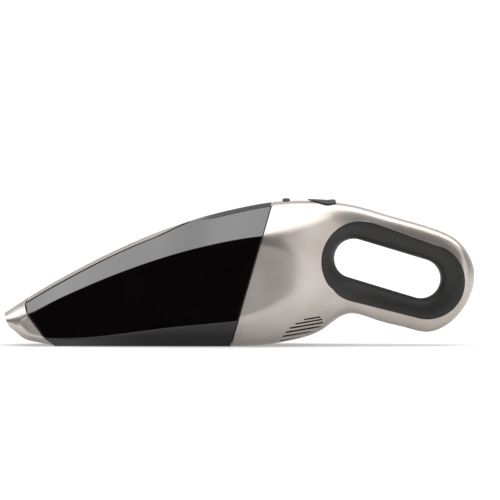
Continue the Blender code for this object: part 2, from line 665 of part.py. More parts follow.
def fan_grille():
    made = turned("fan_grille", [(0.0205, 0.0055), (0.0236, 0.0055), (0.0236, 0.0033), (0.0205, 0.0033)], True, 24,
                  **on_drive)
    for i in range(3):
        bar = box(f"grille_bar_{i}", (-0.0212, -0.0008, 0.0036), (0.0212, 0.0008, 0.0052),
                  turned_by=(0, 0, math.pi / 3 * i), parent=drive_axis, **CUT)
        boolean(made, as_cutter(bar), "UNION")
    return finish(made, black_abs)


def fan_shroud():
    ring = [(0.0150, 0.0105), (0.0410, 0.0105), (0.0410, 0.0090), (0.0168, 0.0090), (0.0168, 0.0076),
            (0.0150, 0.0076)]
    return finish(turned("fan_shroud", ring, True, 24, **on_drive), black_abs, True)


def fan_housing():
    front, rear, wall, bore = 0.0108, 0.0270, 0.0020, 0.0040
    ring = [(bore, rear), (0.0410, rear), (0.0410, front), (0.0390, front), (0.0390, rear - wall),
            (bore, rear - wall)]
    made = turned("fan_housing", ring, True, 24, **on_drive)
    for i in range(6):
        angle = math.pi / 3 * i
        port = rod(f"fan_port_{i}", 0.0055, 0.02, 0.03, 12,
                   place=(0.0290 * math.cos(angle), 0.0290 * math.sin(angle), 0), parent=drive_axis, **CUT)
        boolean(made, as_cutter(port))
    return finish(made, black_abs, True)


def impeller():
    hub, eye, disc = 0.0140, 0.0019, 0.0210
    ring = [(eye, 0.0225), (FAN_RADIUS, 0.0225), (FAN_RADIUS, disc), (0.0055, disc), (0.0055, hub), (eye, hub)]
    made = turned("impeller", ring, True, 24, **on_fan)
    count, lean = 9, math.radians(28)
    for i in range(count):
        angle = 2 * math.pi * i / count
        start = Vector((0.0120 * math.cos(angle), 0.0120 * math.sin(angle), 0))
        blade = box(f"blade_{i}", (0, -0.0006, 0.0135), (0.0225, 0.0006, disc + 0.0007), place=start,
                    turned_by=(0, 0, angle + lean), parent=fan_axis, **CUT)
        boolean(made, as_cutter(blade), "UNION")
    return finish(made, black_abs)


def fan_parts():
    nut = turned("impeller_nut", [(0.0019, 0.0137), (0.0034, 0.0137), (0.0034, 0.0121), (0.0019, 0.0121)], True, 6,
                 **on_fan)
    shaft = rod("motor_shaft", 0.0016, 0.0113, 0.0645, 12, **on_fan)
    core = turned("armature", [(0.0019, 0.0560), (0.0114, 0.0560), (0.0114, 0.0360), (0.0019, 0.0360)], True, 20,
                  **on_fan)
    finish(nut, steel)
    finish(shaft, steel, True)
    finish(core, copper_wound, True)


def sector(name, inner, outer, middle, spread, low, high):
    """Part of a ring about the drive axis."""
    angles = [middle + spread * (i / 6 - 0.5) for i in range(7)]
    points = [(outer * math.cos(a), outer * math.sin(a)) for a in angles]
    points += [(inner * math.cos(a), inner * math.sin(a)) for a in reversed(angles)]
    return prism(name, points, low, high, flat=True, **on_drive)


def motor():
    mount = turned("motor_mount", [(0.0090, 0.0293), (MOTOR_RADIUS, 0.0293), (MOTOR_RADIUS, 0.0273),
                                   (0.0090, 0.0273)], True, 24, **on_drive)
    front, rear, wall = 0.0296, 0.0660, 0.0012
    can = turned("motor_can", [(0.0021, front + wall), (MOTOR_RADIUS - wall, front + wall),
                               (MOTOR_RADIUS - wall, rear), (MOTOR_RADIUS, rear), (MOTOR_RADIUS, front),
                               (0.0021, front)], True, 24, **on_drive)
    cap = turned("motor_end_cap", [(0, 0.0700), (0.0050, 0.0700), (0.0050, 0.0690), (0.0156, 0.0690),
                                   (0.0156, 0.0663), (0, 0.0663)], sides=24, **on_drive)
    finish(mount, seal_rubber, True)
    finish(can, steel, True)
    finish(cap, black_abs, True)
    for side, word in ((1, "right"), (-1, "left")):
        magnet = sector(f"magnet_{word}", 0.0121, 0.0144, side * math.pi / 2, math.radians(120), 0.0340, 0.0580)
        terminal = box(f"motor_terminal_{word}", (-0.0020, side * 0.0090 - 0.0004, 0.0693),
                       (0.0020, side * 0.0090 + 0.0004, 0.0750), **on_drive)
        finish(magnet, ferrite)
        finish(terminal, brass)


def battery():
    for index, (x, z) in enumerate(CELLS):
        half, button = CELL_LENGTH / 2, 0.0007
        profile = [(0, half), (0.0035, half), (0.0035, half - button), (CELL_RADIUS - 0.0005, half - button),
                   (CELL_RADIUS, half - 0.0014), (CELL_RADIUS, -half), (0, -half)]
        cell = turned(f"battery_cell_{index + 1}", profile, sides=20, place=(x, 0, z),
                      turned_by=(-math.pi / 2, 0, 0))
        finish(cell, cell_wrap, True)
    reach = 0.0065
    (ax, az), (bx, bz), (cx, cz) = CELLS
    hull = [(ax - reach, az - 0.003), (ax - reach, az + 0.003), (ax - 0.003, az + reach), (bx + 0.003, bz + reach),
            (bx + reach, bz + 0.003), (bx + reach, bz - 0.003), (cx + reach, cz - 0.003), (cx + 0.003, cz - reach),
            (cx - 0.003, cz - reach)]
    inner = CELL_LENGTH / 2 + GAP
    finish(prism("cell_plate_left", hull, -inner - 0.0012, -inner), grey_abs)
    finish(prism("cell_plate_right", hull, inner, inner + 0.0012), grey_abs)


def electronics():
    board = box("circuit_board", (0.0500, -0.0140, 0.1110), (0.0900, 0.0140, 0.1126))
    switch = box("micro_switch", (0.0640, -0.0045, 0.1129), (0.0820, 0.0045, 0.1180))
    plunger = box("switch_plunger", (0.0715, -0.0015, 0.1170), (0.0745, 0.0015, 0.1190), **CUT)
    boolean(switch, as_cutter(plunger), "UNION")
    lamp = turned("charge_lamp", [(0, 0.1262), (0.0012, 0.1260), (0.0020, 0.1253), (0.0020, 0.1225), (0.0027, 0.1225),
                                  (0.0027, 0.1215), (0, 0.1215)], sides=12, place=(0.0940, 0, 0))
    socket = turned("charge_socket", [(0, 0.0000), (0.0007, 0.0000), (0.0007, -0.0060), (0.0027, -0.0060),
                                      (0.0027, 0.0006), (0.0040, 0.0006), (0.0040, -0.0080), (0, -0.0080)],
                    sides=16, place=SOCKET_PLACE, turned_by=SOCKET_TURN)
    finish(board, board_green)
    finish(switch, black_abs)
    finish(lamp, lamp_lens, True)
    finish(socket, black_abs, True)
    route = [(0.0703, 0.0080, 0.1100), (0.0697, 0.0140, 0.0900), (0.0697, 0.0185, 0.0700), (0.0740, 0.0195, 0.0520),
             (0.0800, 0.0170, 0.0390), (0.0806, 0.0095, 0.0312)]
    for side, word, look in ((1, "red_wire", red_pvc), (-1, "black_wire", black_pvc)):
        line = [(x, side * y, z) for x, y, z in spline(route, 22)]
        finish(tube(word, line, 0.0008, 1), look)


def exhaust_foams():
    for side, word in ((1, "right"), (-1, "left")):
        made = casing(f"exhaust_foam_{word}", front_stations(0.020, 0.090, 8), body_reach, SHELL_WALL + 0.0012, 2)
        middle = casing(f"foam_middle_{word}", front_stations(0.015, 0.095, 8), body_reach, 0.0060, 2, **CUT)
        low, high = sorted((side * 0.0180, side * 0.070))
        space = box(f"foam_space_{word}", (0.0370, low, 0.0), (0.0740, high, 0.0280), **CUT)
        boolean(made, as_cutter(middle))
        boolean(made, as_cutter(space), "INTERSECT")
        finish(made, foam_grey)


# The release button and the power slider -----------------------------------------------------------------------

def release_button():
    axis = empty("release_axis", (BUTTON_X, 0, 0.1200))
    level = -0.1200  # heights below are the machine's own, so the axis's height is taken off
    crown = as_cutter(casing("button_crown", front_stations(0.030, 0.055, 4), 0.012, -0.0026, 3, **CUT))
    cap = prism("release_button", shifted(oval(0.0, BUTTON_LENGTH, BUTTON_HALF), 0.0), 0.1202 + level, 0.1380 + level,
                flat=True, parent=axis)
    boolean(cap, crown, "INTERSECT")
    flange = prism("button_stem", oval(0.0005, 0.0058, 0.0060), 0.1170 + level, 0.1210 + level, flat=True,
                   parent=axis, **CUT)
    boolean(cap, as_cutter(flange), "UNION")
    hook_points = [(0.0440, 0.1166), (0.0440, 0.1146), (0.0290, 0.1146), (0.0290, 0.1175), (0.0320, 0.1181),
                   (0.0335, 0.1166)]
    hook = prism("latch_hook", [(x - BUTTON_X, z + level) for x, z in hook_points], -0.0050, 0.0050, parent=axis)
    turns, per_turn, radius = 4, 8, 0.0026
    low, high = 0.1098 + level, 0.1138 + level
    coil = []
    for i in range(turns * per_turn + 1):
        share, angle = i / (turns * per_turn), 2 * math.pi * i / per_turn
        coil.append((radius * math.cos(angle), radius * math.sin(angle), low + (high - low) * share))
    spring = tube("button_spring", coil, 0.00035, 1, parent=axis)
    finish(cap, black_abs)
    finish(hook, black_abs)
    finish(spring, steel)


def latch_bracket():
    made = box("latch_bracket", (0.0340, -0.0330, 0.1078), (0.0490, 0.0330, 0.1092))
    return finish(made, steel)


def power_slider():
    """The thumb slider: a saddle over the crown with a raised rear, on a stem through the shell."""
    slide = empty("slider_axis", (SLIDER_REAR, 0, 0.1300))
    plan = [(x, y) for x, y in spline([(SLIDER_FRONT, 0.0), (0.0622, 0.0090), (0.0690, 0.0145), (0.0780, 0.0172),
                                       (SLIDER_REAR, 0.0130)], 9)]
    plan += [(x, -y) for x, y in plan[:0:-1]]
    made = casing("power_slider", front_stations(0.055, 0.095, 8), body_reach, -0.0020, 3)
    under = as_cutter(casing("slider_under", front_stations(0.050, 0.100, 8), body_reach, -0.0007, 3, **CUT))
    ridge = as_cutter(prism("slider_ridge", [(0.0770, 0.1285), (0.0805, 0.1308), (0.0845, 0.1314), (0.0859, 0.1308),
                                             (0.0859, 0.1284)], -0.0110, 0.0110, **CUT))
    stem = as_cutter(box("slider_stem", (0.0700, -0.0025, 0.1194), (0.0760, 0.0025, 0.1296), **CUT))
    boolean(made, as_cutter(prism("slider_plan", plan, 0.1150, 0.1400, flat=True, **CUT)), "INTERSECT")
    boolean(made, under)
    boolean(made, ridge, "UNION")
    boolean(made, stem, "UNION")
    made.data.transform(Matrix.Translation(Vector(slide.location) * -1))
    made.parent = slide
    return finish(made, black_abs)


def place_container():
    """Hangs the container's own pieces on the container's frame."""
    for piece in (container_shell(), nozzle(), top_rail(), inlet_duct(), filter_carrier()):
        piece.parent = container_frame


place_container()
inlet_flap()
filter_shroud()
filter_mesh()
pleated_filter()
filter_seal()
filter_handle()
shell("left_shell", -1)
shell("right_shell", 1)
grip_ring()
shell_screws()
bulkhead()
container_seal()
fan_grille()
fan_shroud()
fan_housing()
impeller()
fan_parts()
motor()
battery()
electronics()
exhaust_foams()
release_button()
latch_bracket()
power_slider()
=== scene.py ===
import math

import bmesh
import bpy
import numpy as np
from mathutils import Matrix, Vector
from mathutils.bvhtree import BVHTree
from mathutils.interpolate import poly_3d_calc


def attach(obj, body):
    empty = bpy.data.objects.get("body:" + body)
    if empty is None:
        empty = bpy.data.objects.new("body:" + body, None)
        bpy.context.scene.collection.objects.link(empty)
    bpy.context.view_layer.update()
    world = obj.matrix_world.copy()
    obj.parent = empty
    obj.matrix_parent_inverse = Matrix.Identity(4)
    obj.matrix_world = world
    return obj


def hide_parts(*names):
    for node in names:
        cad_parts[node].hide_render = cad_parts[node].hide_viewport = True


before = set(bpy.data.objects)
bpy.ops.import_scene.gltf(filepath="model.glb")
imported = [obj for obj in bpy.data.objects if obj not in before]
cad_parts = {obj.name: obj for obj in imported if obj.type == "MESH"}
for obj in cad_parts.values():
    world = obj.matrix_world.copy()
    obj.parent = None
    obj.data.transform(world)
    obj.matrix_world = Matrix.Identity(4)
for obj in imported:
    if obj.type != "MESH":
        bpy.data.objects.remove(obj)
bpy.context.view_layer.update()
scene = bpy.context.scene
print("frame loaded with", len(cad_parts), "nodes")

# The machine's form, shared by every outer piece. Each list is a curve through its points: x with a
# height, or x with a half width.
form = {
    "side": [(-0.2130, 0.0274), (-0.1867, 0.0443), (-0.1433, 0.0689), (-0.0895, 0.0946), (-0.0582, 0.1066),
             (-0.0313, 0.1152), (0.0000, 0.1228), (0.0320, 0.1282), (0.0537, 0.1291), (0.0860, 0.1273),
             (0.1055, 0.1240), (0.1300, 0.1168), (0.1750, 0.1035), (0.1938, 0.0940), (0.2066, 0.0766),
             (0.2099, 0.0629), (0.2040, 0.0401), (0.1838, 0.0173), (0.1674, 0.0118), (0.1491, 0.0154),
             (0.1262, 0.0210), (0.1070, 0.0272), (0.0996, 0.0283), (0.0921, 0.0266), (0.0835, 0.0215),
             (0.0750, 0.0151), (0.0664, 0.0106), (0.0465, 0.0049), (0.0179, 0.0009), (-0.0081, 0.0)],
    "chin": [(-0.2130, 0.0225), (-0.1993, 0.0118), (-0.1935, 0.0073), (-0.1858, 0.0045), (-0.1760, 0.0025),
             (-0.1634, 0.0)],
    "upperEdge": [(-0.2130, 0.0252), (-0.1990, 0.0262), (-0.1867, 0.0291), (-0.1688, 0.0379),
                  (-0.1446, 0.0493), (-0.1204, 0.0596), (-0.0962, 0.0689), (-0.0640, 0.0797),
                  (-0.0318, 0.0884), (-0.0027, 0.0945), (0.0212, 0.0978), (0.0600, 0.1004), (0.1250, 0.1010)],
    "lowerEdge": [(-0.2130, 0.0240), (-0.1990, 0.0160), (-0.1867, 0.0095), (-0.1656, 0.0062),
                  (-0.0627, 0.0157), (-0.0009, 0.0220), (0.0400, 0.0300), (0.0800, 0.0420), (0.1250, 0.0420)],
    "width": [(-0.2130, 0.0335), (-0.1860, 0.0400), (-0.1000, 0.0500), (-0.0300, 0.0552), (0.0200, 0.0559),
              (0.0450, 0.0520), (0.0700, 0.0405), (0.0950, 0.0270), (0.1200, 0.0202), (0.1500, 0.0190),
              (0.2100, 0.0190)],
    "crown": [(-0.2130, 0.0240), (-0.1200, 0.0260), (0.0200, 0.0220), (0.0600, 0.0205), (0.1200, 0.0165),
              (0.2100, 0.0165)],
    "base": [(-0.2130, 0.0290), (-0.1600, 0.0320), (-0.1000, 0.0360), (0.0000, 0.0400), (0.0300, 0.0380),
             (0.0600, 0.0300), (0.0900, 0.0220), (0.1200, 0.0165), (0.2100, 0.0165)],
    "gap": 0.0003,  # clearance between pieces that touch
    "edge": 0.0005,  # radius on the pieces' rims
    "slant": math.radians(16.2),  # the joint face leans back by this
    "seamX": -0.0081,  # where the joint face meets the base plane
    "topStrip": 0.004,  # drop from the crown's ridge to its edge
    "stripLeft": 0.0011,  # what is left of that drop where the rail ends
    "crownFlat": 0.55,  # share of the crown that lies level
    "edgeShare": 0.87,  # widest the crown and the base may be, against the full width
    "sideLean": 0.002,  # how far the side leans in at its upper edge
    "rearEnd": 0.2105,
    "handleRound": 0.016,  # reach of the handle's rounded edges and of its rear end
    "endCurve": 2.2,  # power of the curve that closes the rear end
}


# Curves and the machine's sections

def spline(points, count=200):  # a natural cubic, spread by chord length
    knots = np.array(points, float)
    chord = np.concatenate([[0.0], np.cumsum(np.linalg.norm(np.diff(knots, axis=0), axis=1))])
    step, size = np.diff(chord), len(knots)
    system, right = np.eye(size), np.zeros_like(knots)
    for i in range(1, size - 1):
        system[i, i - 1:i + 2] = step[i - 1], 2 * (step[i - 1] + step[i]), step[i]
        right[i] = 6 * ((knots[i + 1] - knots[i]) / step[i] - (knots[i] - knots[i - 1]) / step[i - 1])
    bend = np.linalg.solve(system, right)
    at = np.linspace(0.0, chord[-1], count)
    k = np.clip(np.searchsorted(chord, at, "right") - 1, 0, size - 2)
    h, left, ahead = step[k][:, None], (at - chord[k])[:, None], (chord[k + 1] - at)[:, None]
    return ((bend[k] * ahead**3 + bend[k + 1] * left**3) / (6 * h)
            + (knots[k] / h - bend[k] * h / 6) * ahead + (knots[k + 1] / h - bend[k + 1] * h / 6) * left)


def readAlong(curve, known=0):  # the curve's other value against its known one
    order = np.argsort(curve[:, known])
    return lambda v: np.interp(v, curve[order, known], curve[order, 1 - known])


def smoothStep(low, high, v):
    t = np.clip((v - low) / (high - low), 0.0, 1.0)
    return t * t * (3 - 2 * t)


outline = spline(form["side"], 1400)
turn = int(np.argmax(outline[:, 0]))
belly, chin = outline[turn:], spline(form["chin"], 80)
topOf = readAlong(outline[:turn + 1])
bottomOf = readAlong(np.maximum(np.vstack([chin, belly]), (-1.0, 0.0)))
upperEdgeOf, lowerEdgeOf, widthOf, crownOf, baseOf = (
    readAlong(spline(form[line])) for line in ("upperEdge", "lowerEdge", "width", "crown", "base"))


def stripDrop(x):  # the crown's edge closes up to the ridge where the rail ends, then falls away again
    lost = smoothStep(-0.078, -0.045, x) - smoothStep(-0.0435, -0.020, x)
    return form["topStrip"] - (form["topStrip"] - form["stripLeft"]) * lost


def corners(x):  # the half section's corners (y, z) at x, from the top centre to the bottom centre
    top, bottom = topOf(x), bottomOf(x)
    height = top - bottom
    end = min(max((form["rearEnd"] - x) / form["handleRound"], 0.0), 1.0)
    width = widthOf(x) * (1 - (1 - end) ** form["endCurve"]) ** (1 / form["endCurve"])
    handle = smoothStep(0.080, 0.125, x)
    depth = min(form["handleRound"], 0.32 * height)
    upper = (1 - handle) * upperEdgeOf(x) + handle * (top - depth)
    lower = (1 - handle) * lowerEdgeOf(x) + handle * (bottom + depth)
    drop = min(stripDrop(x), 0.1 * height)
    crown, base = (min(edge(x), form["edgeShare"] * width) for edge in (crownOf, baseOf))
    lean = form["sideLean"] * (1 - handle)
    return np.array([(0.0, top), (form["crownFlat"] * crown, top), (crown, top - drop), (width - lean, upper),
                     (width, lower), (base, bottom), (0.0, bottom)])


def section(x, reach, steps):  # the half section with its corners rounded over the given reach
    points = corners(x)
    rounded = [points[0]]
    for before, at, after in zip(points, points[1:], points[2:]):
        back, on = before - at, after - at
        a = at + back * min(reach / max(np.linalg.norm(back), 1e-9), 0.5)
        b = at + on * min(reach / max(np.linalg.norm(on), 1e-9), 0.5)
        rounded += [(1 - t) ** 2 * a + 2 * t * (1 - t) * at + t * t * b for t in np.linspace(0, 1, steps + 1)]
    return np.array(rounded + [points[-1]])


def makeSkin(reach, steps, start, end, count=600):  # the form's surface between two x values, read at any x
    table = np.array([section(x, reach(x), steps) for x in np.linspace(start, end, count)])
    half, top, bottom = table[:, :, 0].max(axis=1), table[:, 0, 1], table[:, -1, 1]
    size = table.shape[1]
    index = np.arange(size)

    def skin(x, inset=0.0):  # one x for each point of the section
        at = np.clip((x - start) / (end - start), 0.0, 1.0) * (count - 1)
        row = np.minimum(at.astype(int), count - 2)
        on = at - row
        y, z = ((1 - on[:, None]) * table[row, index] + on[:, None] * table[row + 1, index]).T
        wide, high, low = ((1 - on) * line[row] + on * line[row + 1] for line in (half, top, bottom))
        middle, tall = (high + low) / 2, (high - low) / 2
        return y * (1 - inset / wide), middle + (z - middle) * (1 - inset / tall)

    skin.size = size
    return skin


def station(skin, line, inset=0.0):  # the skin's half ring where it meets a line drawn as x against height
    x = np.full(skin.size, float(line(0.05)))
    for _ in range(40):
        y, z = skin(x, inset)
        x = line(z)
    return np.column_stack([x, y, z])


def seamLine(t):  # a plane parallel to the joint face, t behind it
    return lambda z: form["seamX"] + t / math.cos(form["slant"]) + z * math.tan(form["slant"])


def between(front, rear, share):
    return lambda z: (1 - share) * front(z) + share * rear(z)


def whole(half):  # a half ring and its mirror image
    return np.vstack([half, half[-2:0:-1] * (1, -1, 1)])


def bodyReach(x):
    return 0.006 + 0.024 * smoothStep(0.0, 0.090, x)


def halfWidthAt(x, z):
    line = section(x, bodyReach(x), 8)[::-1]
    return float(np.interp(z, line[:, 1], line[:, 0]))


def topAt(x, y):  # height of the upper skin over a point of the plan
    line = section(x, bodyReach(x), 8)
    line = line[:int(np.argmax(line[:, 0])) + 1]
    return float(np.interp(abs(y), line[:, 0], line[:, 1]))


def capsule(first, second, grow=0.0, arc=48, straight=20):  # an outline round two circles (x, z, radius)
    (xa, za, ra), (xb, zb, rb) = first, second
    ra, rb = ra + grow, rb + grow
    lean = math.atan2(zb - za, xb - xa)
    wide = math.acos((ra - rb) / math.hypot(xb - xa, zb - za))
    ring = [(xb, zb, rb, lean + wide - 2 * wide * i / arc) for i in range(arc + 1)]
    ring += [(xa, za, ra, lean - wide - 2 * (math.pi - wide) * i / arc) for i in range(arc + 1)]
    points = np.array([(x + r * math.cos(a), z + r * math.sin(a)) for x, z, r, a in ring])
    result = []
    for i, (start, end) in enumerate(zip(points, np.roll(points, -1, axis=0))):
        pieces = straight if i in (arc, 2 * arc + 1) else 1
        result += [start + (end - start) * k / pieces for k in range(pieces)]
    return np.array(result)


# Making meshes and pieces

def meshOf(name, points, faces):
    mesh = bpy.data.meshes.new(name)
    mesh.from_pydata([tuple(p) for p in points], [], faces)
    bm = bmesh.new()
    bm.from_mesh(mesh)
    bmesh.ops.remove_doubles(bm, verts=bm.verts, dist=1e-6)
    bmesh.ops.recalc_face_normals(bm, faces=bm.faces)
    bm.to_mesh(mesh)
    bm.free()
    return mesh


def gridMesh(name, rings, loop=False, caps=False):  # closed rings in a row; loop joins the last to the first
    rows, size = len(rings), len(rings[0])
    faces = []
    for r in range(rows if loop else rows - 1):
        a, b = r * size, (r + 1) % rows * size
        faces += [(a + i, a + (i + 1) % size, b + (i + 1) % size, b + i) for i in range(size)]
    if caps:
        faces += [tuple(range(size)), tuple(range((rows - 1) * size, rows * size))]
    return meshOf(name, np.vstack(rings), faces)


def prismMesh(name, points, low, high, flat=False):  # an (x, z) outline along y, or flat, (x, y) along z
    rings = [np.array([(p[0], p[1], v) if flat else (p[0], v, p[1]) for p in points]) for v in (low, high)]
    return gridMesh(name, rings, caps=True)


def boxMesh(name, low, high):
    return prismMesh(name, [(low[0], low[2]), (high[0], low[2]), (high[0], high[2]), (low[0], high[2])],
                     low[1], high[1])


def turnedMesh(name, profile, sides=32):  # (radius, z) points down the outer side, about Z
    angles = [2 * math.pi * i / sides for i in range(sides)]
    rings = [np.array([(r * math.cos(a), r * math.sin(a), z) for a in angles]) for r, z in profile]
    return gridMesh(name, rings)


def rodMesh(radius, low, high):  # a round cutter along Z
    return turnedMesh("cutter", [(0.0, low), (radius, low), (radius, high), (0.0, high)])


def arcPoints(centre, radius, start, end, count=7):  # points of an arc, by angle in degrees
    turns = np.radians(np.linspace(start, end, count))
    return [(centre[0] + radius * math.cos(a), centre[1] + radius * math.sin(a)) for a in turns]


def newObject(name, mesh):
    made = bpy.data.objects.new(name, mesh)
    scene.collection.objects.link(made)
    return made


def settle(piece):  # fixes the modifiers' result in the mesh
    solved = piece.evaluated_get(bpy.context.evaluated_depsgraph_get())
    old, piece.data = piece.data, bpy.data.meshes.new_from_object(solved)
    piece.modifiers.clear()
    bpy.data.meshes.remove(old)


def carve(piece, cutters):
    for cutter in cutters:
        change = piece.modifiers.new("carve", "BOOLEAN")
        change.operation, change.solver = "DIFFERENCE", "EXACT"
        change.object = tool = newObject("cutter", cutter)
        settle(piece)
        bpy.data.objects.remove(tool)


def smoothByAngle(piece, angle=35, weighted=True):  # smooth faces, with the large ones kept flat
    piece.data.shade_smooth()
    piece.data.set_sharp_from_angle(angle=math.radians(angle))
    if weighted:
        change = piece.modifiers.new("weighted", "WEIGHTED_NORMAL")
        change.keep_sharp, change.weight = True, 80
        settle(piece)
    return piece


def shadeLike(piece, model, near=0.00006):
    # Cut pieces keep the uncut form's smooth shading: each corner on its skin takes the form's own normal.
    verts = [v.co.copy() for v in model.vertices]
    polygons = [tuple(p.vertices) for p in model.polygons]
    normals = np.zeros((len(verts), 3))
    for p in model.polygons:
        for v in p.vertices:
            normals[v] += np.array(p.normal) * p.area
    normals /= np.maximum(np.linalg.norm(normals, axis=1), 1e-12)[:, None]
    tree = BVHTree.FromPolygons(verts, polygons)
    mesh = piece.data
    mesh.shade_smooth()
    mesh.set_sharp_from_angle(angle=math.radians(40))
    result = [c.vector.copy() for c in mesh.corner_normals]
    for p in mesh.polygons:
        spot, facing, index, distance = tree.find_nearest(p.center)
        if distance > near or facing.dot(p.normal) < 0.85:
            continue
        for loop in p.loop_indices:
            corner = mesh.vertices[mesh.loops[loop].vertex_index].co.lerp(p.center, 0.02)
            spot, facing, index, distance = tree.find_nearest(corner)
            weights = poly_3d_calc([verts[v] for v in polygons[index]], spot)
            blended = sum((normals[v] * w for v, w in zip(polygons[index], weights)), np.zeros(3))
            result[loop] = Vector(blended).normalized()
    mesh.normals_split_custom_set(result)


def place(piece, look, body, nodes=()):  # a piece's finish, its body and the nodes it stands for
    piece.data.materials.clear()
    piece.data.materials.append(looks[look])
    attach(piece, body)
    if nodes:
        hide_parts(*nodes)
    return piece


# Materials

def linear(colour):  # an sRGB hex colour as linear light
    parts = [int(colour[i:i + 2], 16) / 255 for i in (1, 3, 5)]
    return [c / 12.92 if c <= 0.04045 else ((c + 0.055) / 1.055) ** 2.4 for c in parts] + [1.0]


def addNode(tree, kind, settings=None, links=None):
    made = tree.nodes.new(kind)
    for name, value in (settings or {}).items():
        if name == "stops":
            ramp = made.color_ramp.elements
            for i, (at, colour) in enumerate(value):
                stop = ramp[i] if i < len(ramp) else ramp.new(at)
                stop.position, stop.color = at, linear(colour)
        elif isinstance(name, int) or name in made.inputs:
            made.inputs[name].default_value = value
        else:
            setattr(made, name, value)
    for name, source in (links or {}).items():
        tree.links.new(source, made.inputs[name])
    return made


mm = 0.001


def finish(name, shader, colours, size, rough, depth, kind="ShaderNodeTexNoise", stretch=(1, 1, 1),
           settings=None, soft=(0.35, 0.65), broad=None):
    # A moulded, painted or woven surface: one pattern of the given size tints it, roughens it and raises it,
    # and a broad one with its own size and colour shift keeps large areas from looking printed.
    made = bpy.data.materials.new(name)
    made.use_nodes = True
    tree = made.node_tree
    tree.nodes.clear()
    bsdf = addNode(tree, "ShaderNodeBsdfPrincipled", shader)
    addNode(tree, "ShaderNodeOutputMaterial", links={"Surface": bsdf.outputs["BSDF"]})
    where = addNode(tree, "ShaderNodeTexCoord")
    scaled = addNode(tree, "ShaderNodeMapping", {"Scale": [s / size for s in stretch]},
                     {"Vector": where.outputs["Object"]})
    pattern = addNode(tree, kind, {"Scale": 1.0, **(settings or {})}, {"Vector": scaled.outputs["Vector"]})
    height = pattern.outputs["Distance" if kind == "ShaderNodeTexVoronoi" else 0]
    tint = addNode(tree, "ShaderNodeValToRGB", {"stops": [(soft[0], colours[0]), (soft[1], colours[1])]},
                   {"Fac": height})
    colour = tint.outputs["Color"]
    if broad:
        cloud = addNode(tree, "ShaderNodeTexNoise", {"Scale": 1 / broad[0], "Detail": 2.0},
                        {"Vector": where.outputs["Object"]})
        shade = addNode(tree, "ShaderNodeValToRGB", {"stops": [(0.35, broad[1]), (0.65, "#ffffff")]},
                        {"Fac": cloud.outputs[0]})
        mixed = addNode(tree, "ShaderNodeMix", {"data_type": "RGBA", "blend_type": "MULTIPLY", 0: 1.0},
                        {6: colour, 7: shade.outputs["Color"]})
        colour = mixed.outputs[2]
    spread = addNode(tree, "ShaderNodeMapRange", {
        "From Min": soft[0], "From Max": soft[1], "To Min": rough[0], "To Max": rough[1]}, {"Value": height})
    tree.links.new(colour, bsdf.inputs["Base Color"])
    tree.links.new(spread.outputs["Result"], bsdf.inputs["Roughness"])
    if depth:
        raised = addNode(tree, "ShaderNodeBump", {"Strength": 1.0, "Distance": depth}, {"Height": height})
        tree.links.new(raised.outputs["Normal"], bsdf.inputs["Normal"])
    return made


